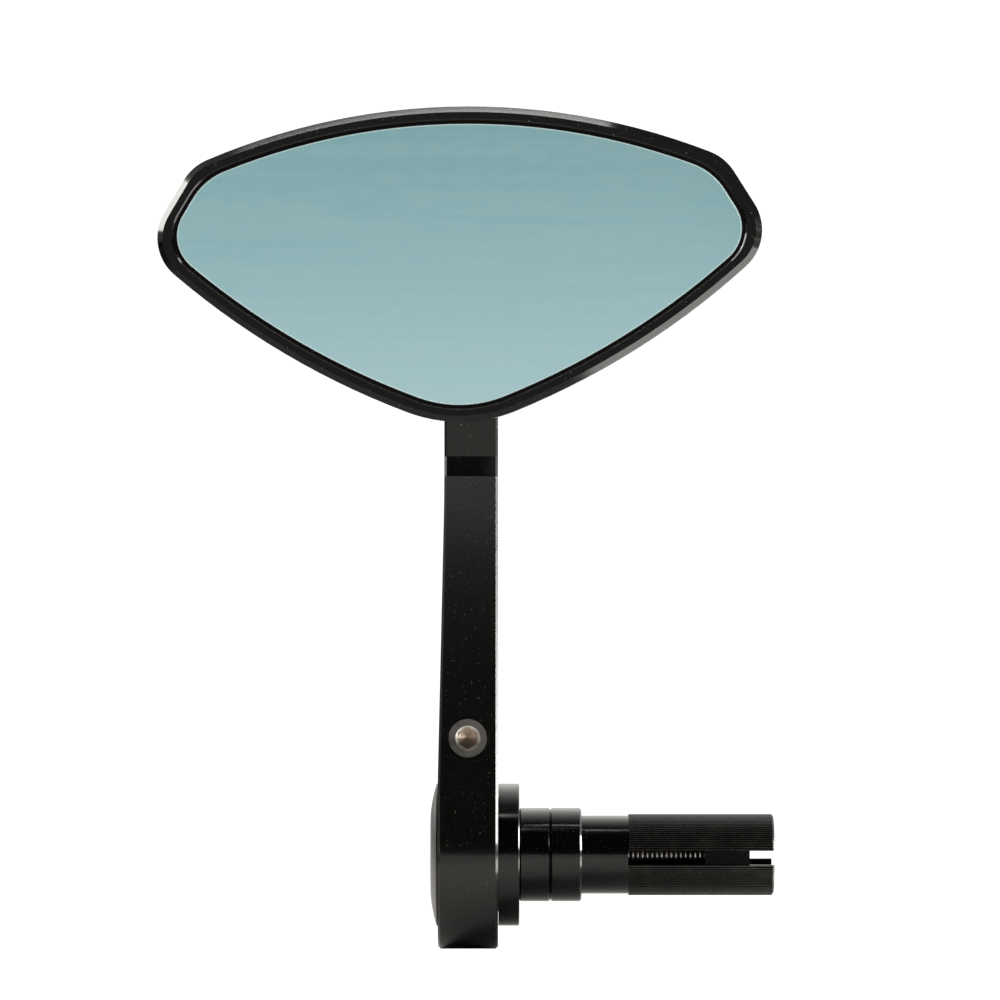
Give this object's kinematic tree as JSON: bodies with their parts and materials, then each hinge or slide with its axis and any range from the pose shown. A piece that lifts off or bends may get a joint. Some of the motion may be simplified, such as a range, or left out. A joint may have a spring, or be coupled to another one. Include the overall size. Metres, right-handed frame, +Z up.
{
  "type": "handlebar-end mirror",
  "caption": "Handlebar-end mirror: an expanding plug fits into the bar's open end, and a clamped arm carries a wide mirror head on a ball joint.",
  "frame": {"origin": "on the handlebar's axis, in the inner collar's face that the end of the bar butts against", "axes": "+X inboard along the handlebar, +Z up from the bar to the mirror head, the mirror glass looks toward -Y"},
  "size_m": [0.1275, 0.0603, 0.1745],
  "materials": {
    "black_anodised": "satin black anodised",
    "stainless_steel": "bright stainless",
    "black_rubber": "matt black rubber",
    "seat_polymer": "natural acetal",
    "mirror_glass": "blue-tinted mirror",
    "foam_adhesive": "closed-cell foam tape",
    "satin_cap": "satin turned"
  },
  "bodies": {
    "bar_plug": {"hub": "black_anodised", "expander_sleeve": "black_anodised", "spacer_collar_outer": "black_anodised", "spacer_collar_inner": "black_anodised", "draw_bolt_washer": "stainless_steel"},
    "draw_screw": {"draw_bolt": "stainless_steel"},
    "wedge": {"cone_nut": "black_anodised"},
    "cap": {"end_cap": "satin_cap", "end_cap_ring": "black_rubber"},
    "swing_arm": {"arm": "black_anodised", "ball_stud": "stainless_steel", "stud_washer": "stainless_steel", "stud_nut": "stainless_steel"},
    "clamp": {"clamp_screw": "stainless_steel"},
    "rear_seat": {"ball_liner_rear": "seat_polymer"},
    "front_seat": {"ball_liner_front": "seat_polymer"},
    "head": {"head_housing": "black_anodised", "mirror_glass": "mirror_glass", "glass_adhesive_pad": "foam_adhesive", "glass_gasket": "black_rubber", "preload_spring": "stainless_steel", "socket_retainer": "black_anodised", "socket_screws": "stainless_steel"}
  },
  "joints": [
    {"name": "arm_swing", "type": "hinge", "parent": "bar_plug", "child": "swing_arm", "pos_m": [-0.0237, 0, 0], "axis": [1, 0, 0], "continuous": true},
    {"name": "head_pan", "type": "hinge", "parent": "swing_arm", "child": "rear_seat", "pos_m": [-0.02305, -0.023, 0.123], "axis": [0, 0, 1], "range_deg": [-15, 21]},
    {"name": "head_tilt", "type": "hinge", "parent": "rear_seat", "child": "front_seat", "pos_m": [-0.02305, -0.023, 0.123], "axis": [0.9985, -0.0523, 0.0139], "range_deg": [-15, 15]},
    {"name": "head_roll", "type": "hinge", "parent": "front_seat", "child": "head", "pos_m": [-0.02305, -0.023, 0.123], "axis": [0.0523, 0.9986, 0.0007], "range_deg": [-45, 45]},
    {"name": "draw_bolt_turn", "type": "hinge", "parent": "bar_plug", "child": "draw_screw", "pos_m": [0, 0, 0], "axis": [-1, 0, 0], "range_deg": [0, 1080]},
    {"name": "wedge_travel", "type": "slide", "parent": "bar_plug", "child": "wedge", "axis": [1, 0, 0], "range_m": [0, 0.003]},
    {"name": "clamp_screw_turn", "type": "hinge", "parent": "swing_arm", "child": "clamp", "pos_m": [-0.02373, 0, 0.025], "axis": [0, -1, 0], "range_deg": [0, 720]},
    {"name": "end_cap_pull", "type": "slide", "parent": "bar_plug", "child": "cap", "axis": [-1, 0, 0], "range_m": [0, 0.012]}
  ],
  "couplings": [
    {"joint": "wedge_travel", "follows": "draw_bolt_turn", "m_per_rad": 0.00015915}
  ]
}
